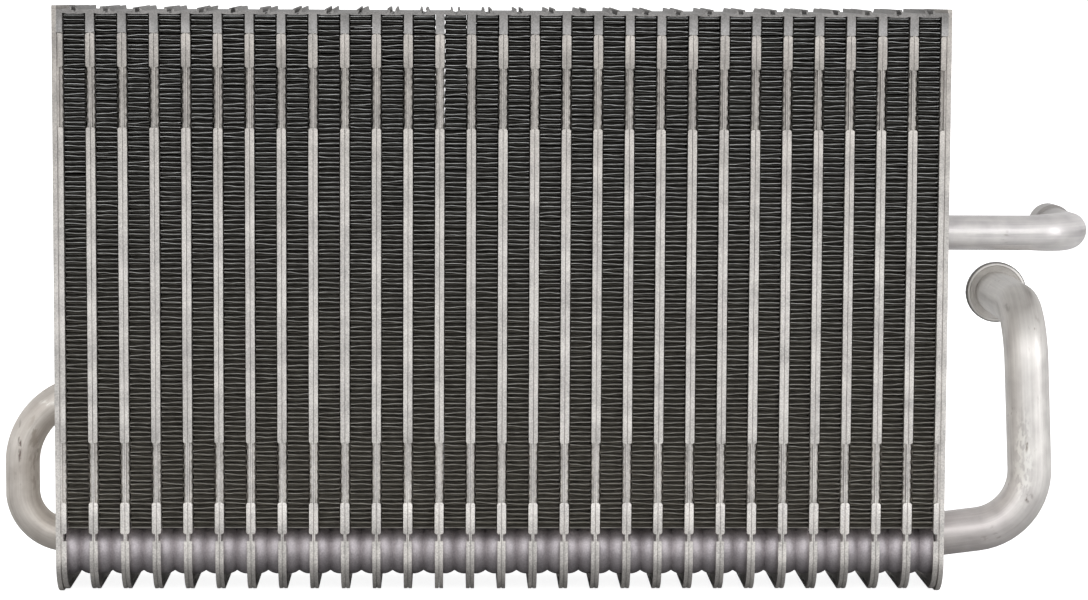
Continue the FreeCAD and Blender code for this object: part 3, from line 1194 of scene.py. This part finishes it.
def liquid_pipe():
    start = port(1, liquid_height)
    corner = start + Vector((liquid_leg_x, 0, 0))
    bell = Vector((sheet_outer_x, 0, 0)) + liquid_end
    pipe = routed([seated(start, corner), corner, bell], [liquid_bend_radius], liquid_radius, liquid_swell)
    pipe.turned_end(liquid_radius, bell_profile, liquid_bore)
    return pipe


liquid = pipe_piece(liquid_pipe(), "liquid_pipe", liquid_finish)

# %% [markdown]
# ### Crossover
# The crossover is a short U on the left end that joins the tank to a port higher up. Its upper run slopes
# more than its lower one. The two bend radii follow from its reach and from those slopes, so that bend and
# run fit.

# %% Crossover pipe
crossover_radius, crossover_reach, crossover_bend_share = 6.2, 16.75, 0.9
crossover_upper_height = 64.8
crossover_upper_angle, crossover_lower_angle = 25.0, 5.0


def crossover_pipe():
    points, radii = [], []
    for height, angle in ((tank_z, crossover_lower_angle), (crossover_upper_height, -crossover_upper_angle)):
        start = port(-1, height)
        corner = start + Vector((-1, 0, math.tan(math.radians(angle)))) * crossover_reach
        half_turn = math.radians(90 - abs(angle)) / 2
        radii.append(crossover_bend_share * (start - corner).length / math.tan(half_turn))
        points.append([seated(start, corner), corner])
    lower, upper = points
    return routed(lower + upper[::-1], radii, crossover_radius)


crossover = pipe_piece(crossover_pipe(), "crossover_pipe", crossover_finish)

# %% [markdown]
# ## Floor, light and camera
# The core stands on a pale table that goes on behind it. The camera sees table and world as white, while the
# light that falls on the metal is softer: the world is brightest in front of the core and dimmer behind it,
# as in a white tent. For the metal the table's colour has painted shade, bright in front of the core and dim
# under it and farther off, where the lamps don't reach. That gives round pipes a light belly between two
# darker bands and leaves the foot of the core in shade. Two large lamps add the highlights.

# %% Floor
floor_half = 250


def pale_floor():
    """A floor that is white to the camera and takes the object's soft shadow."""
    material, tree, shader = new_material("pale floor")
    seen = add(tree, "LightPath").outputs["Is Camera Ray"]
    place = place_of(tree)
    # Painted shade for all rays but the camera's: the table dims far off and under the core
    far = mapped(tree, length_of(tree, place), 0.45, 1.5, 0.88, 0.27, smooth=True)
    depth = worked_out(tree, "ABSOLUTE", parts_of(tree, place)["Y"])
    under = mapped(tree, depth, 0.03, 0.1, 0.5, 1.0, smooth=True)
    join(tree, shader, {
        "Base Color": mixed(tree, seen, worked_out(tree, "MULTIPLY", far, under), "F0F0F0"),
        "Roughness": 0.9, "Normal": bumped(tree, speckle(tree, place, 3), 0.05, 0.1)})
    plain = shader.outputs["BSDF"]
    glow = add(tree, "Emission", inputs={"Color": colour("FFFFFF"), "Strength": 0.9})
    both = add(tree, "AddShader", inputs={0: plain, 1: glow.outputs["Emission"]})
    mix = add(tree, "MixShader", inputs={0: seen, 1: plain, 2: both.outputs["Shader"]})
    output = next(n for n in tree.nodes if n.type == "OUTPUT_MATERIAL")
    join(tree, output, {"Surface": mix.outputs["Shader"]})
    return material


bm = bmesh.new()
add_square(bm, Matrix.Translation((0, 0, cad_low.z)), floor_half)
floor_mesh = as_mesh(bm, "floor")
floor_mesh.materials.append(pale_floor())
placed("floor", floor_mesh)
print("floor at", round(cad_low.z / MM, 2), "mm")

# %% [markdown]
# The world is what a bare metal surface mirrors, so it shapes the pipes more than any lamp. Its brightness is
# worked out from the direction of a ray, and rays from the camera are told apart and see plain white.

# %% World
def studio_world(dim, bright, overhead):
    """White to the camera. For the metal it is bright in front, dimmer behind and overhead."""
    world = bpy.data.worlds.new("studio")
    bpy.context.scene.world = world
    world.use_nodes = True
    tree = world.node_tree
    tree.nodes.clear()
    parts = parts_of(tree, add(tree, "TexCoord").outputs["Generated"])
    depth = mapped(tree, parts["Y"], 0.9, -0.9, dim, bright, smooth=True)
    height = mapped(tree, parts["Z"], 0.1, 1.0, 1.0, overhead, smooth=True)
    soft, white = [
        add(tree, "Background", inputs={"Color": colour("FFFFFF"), "Strength": strength})
        for strength in (worked_out(tree, "MULTIPLY", depth, height), 1.0)]
    path = add(tree, "LightPath").outputs
    seen = worked_out(tree, "MAXIMUM", path["Is Camera Ray"], path["Is Transmission Ray"])
    mix = add(tree, "MixShader", inputs={
        0: seen, 1: soft.outputs["Background"], 2: white.outputs["Background"]})
    add(tree, "OutputWorld", inputs={"Surface": mix.outputs["Shader"]})


studio_world(dim=0.85, bright=1.06, overhead=0.65)
print("world ready")

# %% [markdown]
# Lamps are added last and only where the world leaves the metal flat: a wide one high in front, which
# brightens the edges of the plates, and a tall one on the right, which draws a highlight down the pipes.

# %% Lamps
def lamp(name, place, size, power):
    """A large soft lamp, placed in millimetres and aimed at the middle of the core."""
    light = bpy.data.lights.new(name, "AREA")
    light.shape = "RECTANGLE"
    light.size, light.size_y = [side * MM for side in size]
    light.energy = power
    holder = placed(name, light)
    holder.location = Vector(place) * MM
    holder.rotation_euler = (core_middle - Vector(place)).to_track_quat("-Z", "Y").to_euler()


core_middle = Vector((0, 0, 100))
lamp("overhead softbox", (0, -1300, 580), size=(1800, 650), power=3.6)
lamp("right strip", (900, -500, 150), size=(260, 900), power=2.0)
print("two lamps")

# %% [markdown]
# ### Camera
# The camera's place and lens were worked out from where the tubes' edges lie in the photograph: a long lens a
# little over a metre away, at the height of the core's top and looking slightly down.

# %% Camera
lens_pixels, image_width = 3300, 1088
camera = bpy.data.cameras.new("camera")
camera.sensor_width = 36.0
camera.lens = lens_pixels / image_width * camera.sensor_width
camera.clip_start, camera.clip_end = 0.05, 500
viewer = placed("camera", camera)
viewer.location = Vector((-18.2, -1176.6, 209.9)) * MM
viewer.rotation_euler = [math.radians(a) for a in (84.73, -0.283, -1.606)]
bpy.context.scene.camera = viewer
bpy.context.scene.view_settings.view_transform = "Standard"
print("lens", round(camera.lens, 1), "mm")

# %% Count the triangles and finish
total = sum(triangles(piece) for piece in tubes + fins + end_plates + [suction, liquid, crossover])
print("triangles in all:", total)
